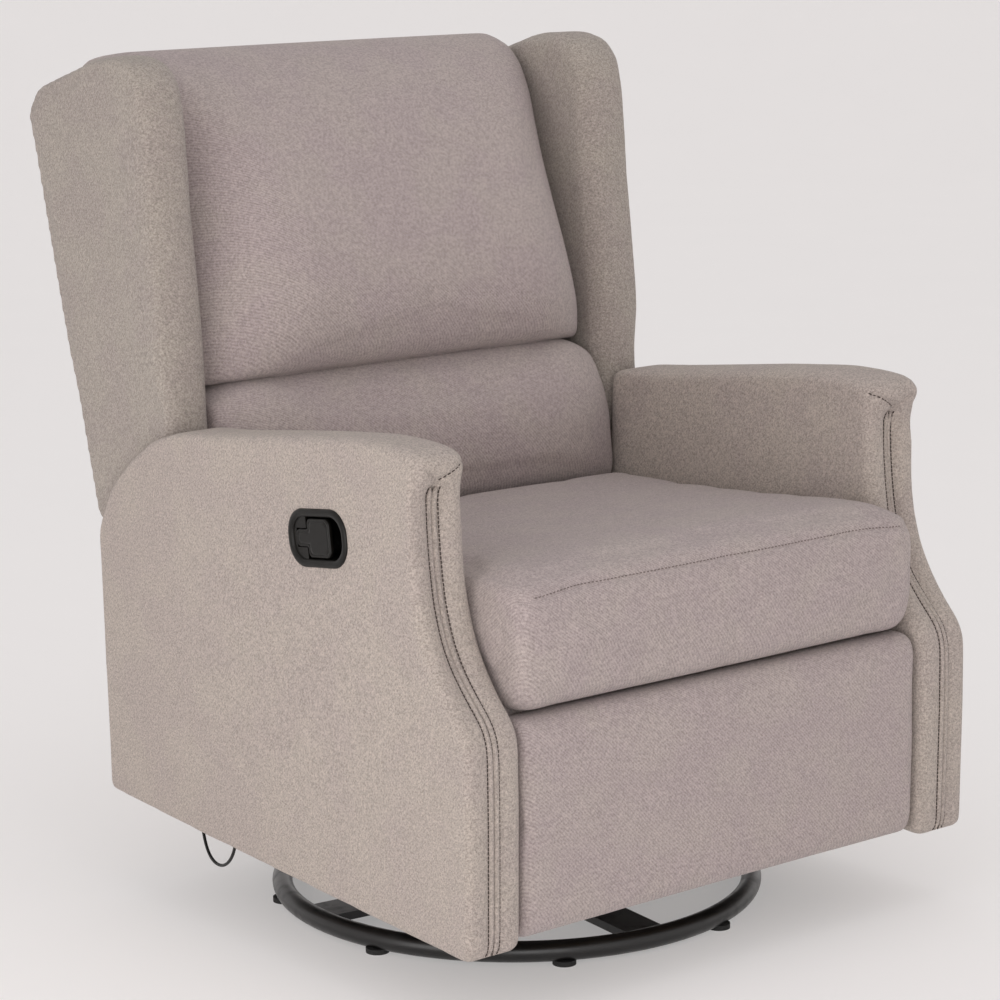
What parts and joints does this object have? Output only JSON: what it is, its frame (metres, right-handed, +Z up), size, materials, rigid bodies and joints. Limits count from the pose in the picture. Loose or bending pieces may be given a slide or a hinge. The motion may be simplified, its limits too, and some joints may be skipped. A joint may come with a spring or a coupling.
{
  "type": "swivel glider nursery chair",
  "caption": "Upholstered wing-back nursery chair that swivels, glides and reclines, with a fold-out footrest, recessed side latch and round steel base.",
  "frame": {"origin": "on the floor, under the middle of the chair's box at rest", "axes": "-Y points out of the front of the chair, +X to the sitter's left, +Z up"},
  "size_m": [0.776, 0.8824, 1.032],
  "materials": {
    "upholstery": "warm grey woven fabric over foam, fine diagonal weave",
    "ring_paint": "semi-gloss black powder coat",
    "mechanism_steel": "black painted pressed steel",
    "bright_steel": "drawn spring wire and ball steel",
    "frame_wood": "bare plywood and softwood",
    "latch_plastic": "black moulded plastic, satin",
    "glide_rubber": "black non-slip rubber",
    "cable_jacket": "black ribbed plastic jacket"
  },
  "bodies": {
    "base": {"base_ring": "ring_paint", "base_bar_long": "ring_paint", "base_bar_short": "ring_paint", "base_glides": "glide_rubber", "swivel_lower_plate": "mechanism_steel", "swivel_balls": "bright_steel"},
    "turntable": {"swivel_upper_plate": "mechanism_steel", "turntable_frame": "mechanism_steel", "glide_bracket_right": "mechanism_steel", "glide_bracket_left": "mechanism_steel"},
    "front_links": {"glide_link_front_right": "mechanism_steel", "glide_link_front_left": "mechanism_steel"},
    "rear_links": {"glide_link_rear_right": "mechanism_steel", "glide_link_rear_left": "mechanism_steel"},
    "chair": {"mechanism_plate_right": "mechanism_steel", "mechanism_plate_left": "mechanism_steel", "frame_cross_tubes": "mechanism_steel", "lower_back_panel": "upholstery", "latch_housing": "latch_plastic", "release_cable": "cable_jacket", "arm_right_outer_panel": "upholstery", "arm_right_inner_panel": "upholstery", "arm_right_front_board": "upholstery", "arm_right_top_pad": "upholstery", "arm_left_outer_panel": "upholstery", "arm_left_inner_panel": "upholstery", "arm_left_front_board": "upholstery", "arm_left_top_pad": "upholstery"},
    "seat": {"seat_side_plate_right": "mechanism_steel", "seat_side_plate_left": "mechanism_steel", "seat_frame": "frame_wood", "seat_springs": "bright_steel", "seat_cushion": "upholstery"},
    "drive_links": {"footrest_drive_links": "mechanism_steel"},
    "cross_links": {"footrest_cross_link_right": "mechanism_steel", "footrest_cross_link_left": "mechanism_steel"},
    "long_links": {"footrest_long_link_right": "mechanism_steel", "footrest_long_link_left": "mechanism_steel"},
    "short_links": {"footrest_short_link_right": "mechanism_steel", "footrest_short_link_left": "mechanism_steel"},
    "control_links": {"footrest_control_link_right": "mechanism_steel", "footrest_control_link_left": "mechanism_steel"},
    "footrest": {"footrest_bracket_right": "mechanism_steel", "footrest_bracket_left": "mechanism_steel", "footrest_board": "frame_wood", "footrest_pad": "upholstery"},
    "back": {"back_post_right": "frame_wood", "back_post_left": "frame_wood", "back_bracket_right": "mechanism_steel", "back_bracket_left": "mechanism_steel", "wing_right": "upholstery", "wing_left": "upholstery", "back_rails": "frame_wood", "back_springs": "bright_steel", "back_panel": "upholstery", "head_pad": "upholstery", "lumbar_pad": "upholstery"},
    "paddle": {"latch_paddle": "latch_plastic"},
    "pawl": {"release_pawl": "mechanism_steel"}
  },
  "joints": [
    {"name": "swivel", "type": "hinge", "parent": "base", "child": "turntable", "pos_m": [0, -0.049, 0.03], "axis": [0, 0, 1], "continuous": true},
    {"name": "glide", "type": "hinge", "parent": "turntable", "child": "front_links", "pos_m": [0, -0.179, 0.235], "axis": [1, 0, 0], "range_deg": [-25, 25]},
    {"name": "glide_rear_links", "type": "hinge", "parent": "turntable", "child": "rear_links", "pos_m": [0, 0.081, 0.235], "axis": [1, 0, 0], "range_deg": [-25.01, 25.01]},
    {"name": "glide_chair", "type": "hinge", "parent": "front_links", "child": "chair", "pos_m": [0, -0.179, 0.125], "axis": [1, 0, 0], "range_deg": [-25.01, 25.01]},
    {"name": "recline", "type": "hinge", "parent": "chair", "child": "back", "pos_m": [0, 0.198, 0.44], "axis": [-1, 0, 0], "range_deg": [0, 35]},
    {"name": "seat_slide", "type": "slide", "parent": "chair", "child": "seat", "axis": [0, -1, 0], "range_m": [0, 0.04502]},
    {"name": "footrest_drive", "type": "hinge", "parent": "seat", "child": "drive_links", "pos_m": [0, -0.315, 0.3], "axis": [-1, 0, 0], "range_deg": [0, 72]},
    {"name": "footrest_cross", "type": "hinge", "parent": "drive_links", "child": "cross_links", "pos_m": [0, -0.32753, 0.21088], "axis": [-1, 0, 0], "range_deg": [-109.05, 0]},
    {"name": "footrest_long", "type": "hinge", "parent": "drive_links", "child": "long_links", "pos_m": [0, -0.34005, 0.12175], "axis": [-1, 0, 0], "range_deg": [-109.05, 0]},
    {"name": "footrest_short", "type": "hinge", "parent": "cross_links", "child": "short_links", "pos_m": [0, -0.34005, 0.3], "axis": [-1, 0, 0], "range_deg": [0, 109.05]},
    {"name": "footrest_tilt", "type": "hinge", "parent": "long_links", "child": "footrest", "pos_m": [0, -0.3651, 0.3], "axis": [-1, 0, 0], "range_deg": [0, 127.06]},
    {"name": "footrest_control", "type": "hinge", "parent": "short_links", "child": "control_links", "pos_m": [0, -0.3651, 0.12175], "axis": [-1, 0, 0], "range_deg": [-122.86, 0]},
    {"name": "latch_pull", "type": "hinge", "parent": "chair", "child": "paddle", "pos_m": [-0.381, -0.14, 0.52], "axis": [0, 0, -1], "range_deg": [0, 28], "stiffness_Nm_per_rad": 0.2, "springref_deg": -11.46},
    {"name": "pawl_turn", "type": "hinge", "parent": "chair", "child": "pawl", "pos_m": [-0.2975, 0.194, 0.262], "axis": [1, 0, 0], "range_deg": [-20.01, 0]}
  ],
  "couplings": [
    {"joint": "glide_rear_links", "follows": "glide", "ratio": 1},
    {"joint": "glide_chair", "follows": "glide", "ratio": -1},
    {"joint": "seat_slide", "follows": "recline", "m_per_rad": 0.073666},
    {"joint": "footrest_cross", "follows": "footrest_drive", "ratio": -1.5139},
    {"joint": "footrest_long", "follows": "footrest_drive", "ratio": -1.5139},
    {"joint": "footrest_short", "follows": "footrest_drive", "ratio": 1.5139},
    {"joint": "footrest_tilt", "follows": "footrest_drive", "ratio": 1.7639},
    {"joint": "footrest_control", "follows": "footrest_drive", "ratio": -1.7056},
    {"joint": "pawl_turn", "follows": "latch_pull", "ratio": -0.71429}
  ]
}
